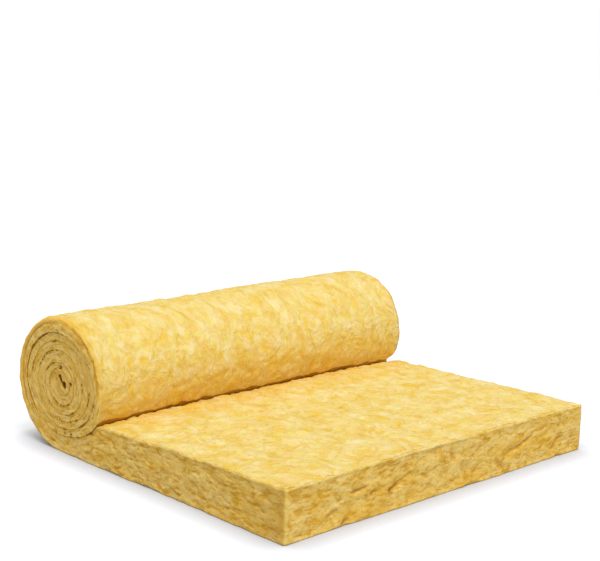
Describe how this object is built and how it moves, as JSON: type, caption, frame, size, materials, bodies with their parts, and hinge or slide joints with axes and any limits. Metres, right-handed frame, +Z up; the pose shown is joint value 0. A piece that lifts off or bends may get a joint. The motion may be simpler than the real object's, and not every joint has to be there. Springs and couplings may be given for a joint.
{
  "type": "mineral wool insulation roll",
  "caption": "Yellow mineral wool blanket, partly unrolled: a flat stretch with a square cut end runs out from under the compressed roll it is still wound into.",
  "frame": {"origin": "on the floor, under the middle of the whole object's box", "axes": "+Z up, +X from the roll towards the cut end of the flat stretch, +Y along the roll's axis, across the blanket's width"},
  "size_m": [1.1138, 1.2, 0.388],
  "materials": {
    "mineral_wool": "matte, fibrous, pale cream to golden yellow, with layered darker cut edges"
  },
  "bodies": {
    "root": {"wool_blanket": "mineral_wool"}
  },
  "joints": []
}
